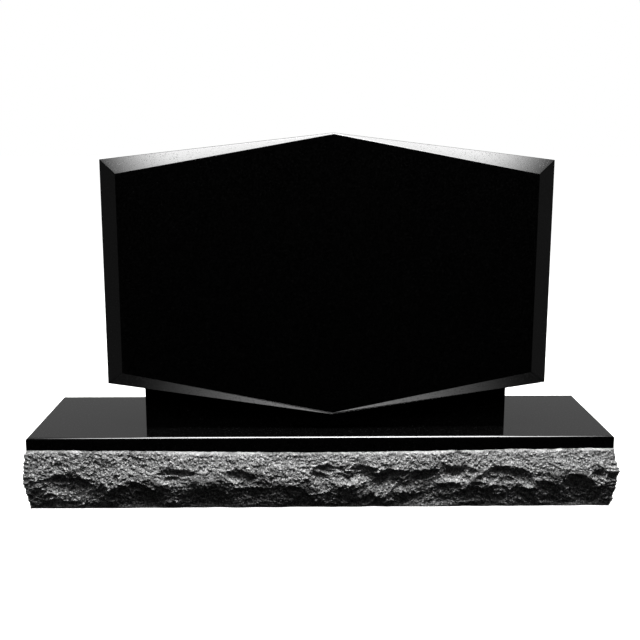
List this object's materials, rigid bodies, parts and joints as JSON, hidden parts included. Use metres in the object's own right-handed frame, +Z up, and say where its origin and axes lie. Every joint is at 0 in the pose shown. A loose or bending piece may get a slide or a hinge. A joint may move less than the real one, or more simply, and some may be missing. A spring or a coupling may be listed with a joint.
{
  "type": "headstone",
  "caption": "Polished granite headstone: a six-sided bevelled tablet on a narrower neck, standing on a low base with rock-pitched sides.",
  "frame": {"origin": "on the ground, under the middle of the base's rock-pitched outline", "axes": "+Z up, -Y out of the face, +X to the right of someone who faces the stone"},
  "size_m": [1.226, 0.326, 0.762],
  "materials": {
    "base_granite": "dark granite, polished on top and on the narrow margin under the eased arris, rock-pitched and grey below",
    "tablet_granite": "black granite, polished to a mirror on the face, the bevels and the neck"
  },
  "bodies": {
    "root": {"base": "base_granite", "tablet": "tablet_granite"}
  },
  "joints": []
}
